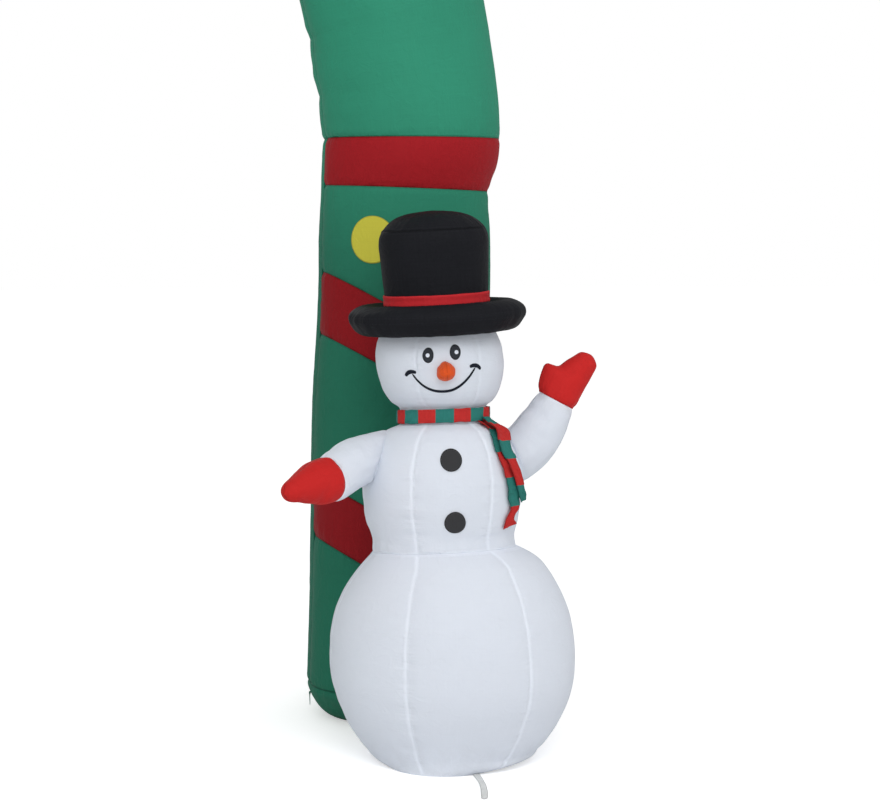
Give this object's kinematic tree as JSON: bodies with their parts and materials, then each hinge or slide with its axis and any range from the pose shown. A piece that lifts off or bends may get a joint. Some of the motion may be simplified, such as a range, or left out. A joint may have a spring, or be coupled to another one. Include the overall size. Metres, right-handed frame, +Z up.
{
  "type": "inflatable arch with snowman figure",
  "caption": "Air-filled festive walk-through arch of green cloth with red stripes, a red band and a yellow dot on each leg, and a waving snowman in a top hat at one leg.",
  "frame": {"origin": "on the ground, under the middle of the whole part's box", "axes": "+Z up; X across the walk-through, with the snowman at the +X leg; the snowman and the striped front face -Y"},
  "size_m": [2.6784, 1.0919, 2.7341],
  "materials": {
    "green_cloth": "smooth woven polyester, semi-matt",
    "red_cloth": "smooth woven polyester, semi-matt",
    "yellow_cloth": "smooth woven polyester, semi-matt",
    "white_cloth": "thin woven polyester, slightly see-through",
    "mitten_cloth": "smooth woven polyester, semi-matt",
    "black_cloth": "smooth woven polyester, slight sheen",
    "hat_ribbon": "woven strip",
    "scarf_cloth": "soft woven strip in green and red blocks",
    "charcoal_cloth": "felt-like matt patch",
    "orange_cloth": "soft matt cloth",
    "webbing": "flat woven tape"
  },
  "bodies": {
    "root": {"foot_right": "green_cloth", "foot_left": "green_cloth", "front_low_right": "green_cloth", "front_low_left": "green_cloth", "stripe_low_right": "red_cloth", "stripe_low_left": "red_cloth", "front_middle_right": "green_cloth", "front_middle_left": "green_cloth", "stripe_high_right": "red_cloth", "stripe_high_left": "red_cloth", "front_high_right": "green_cloth", "front_high_left": "green_cloth", "band_right": "red_cloth", "band_left": "red_cloth", "back_right": "green_cloth", "back_left": "green_cloth", "top_front": "green_cloth", "top_back": "green_cloth", "dot_right": "yellow_cloth", "dot_left": "yellow_cloth", "foot_tab": "green_cloth", "ball": "white_cloth", "torso": "white_cloth", "head": "white_cloth", "arm_left": "white_cloth", "arm_right": "white_cloth", "mitten_left": "mitten_cloth", "mitten_right": "mitten_cloth", "hat_brim": "black_cloth", "hat_crown": "black_cloth", "hat_top": "black_cloth", "hat_ribbon": "hat_ribbon", "scarf_ring": "scarf_cloth", "scarf_end_long": "scarf_cloth", "scarf_end_short": "scarf_cloth", "button_high": "charcoal_cloth", "button_low": "charcoal_cloth", "nose": "orange_cloth", "tie_strap": "webbing"}
  },
  "joints": []
}
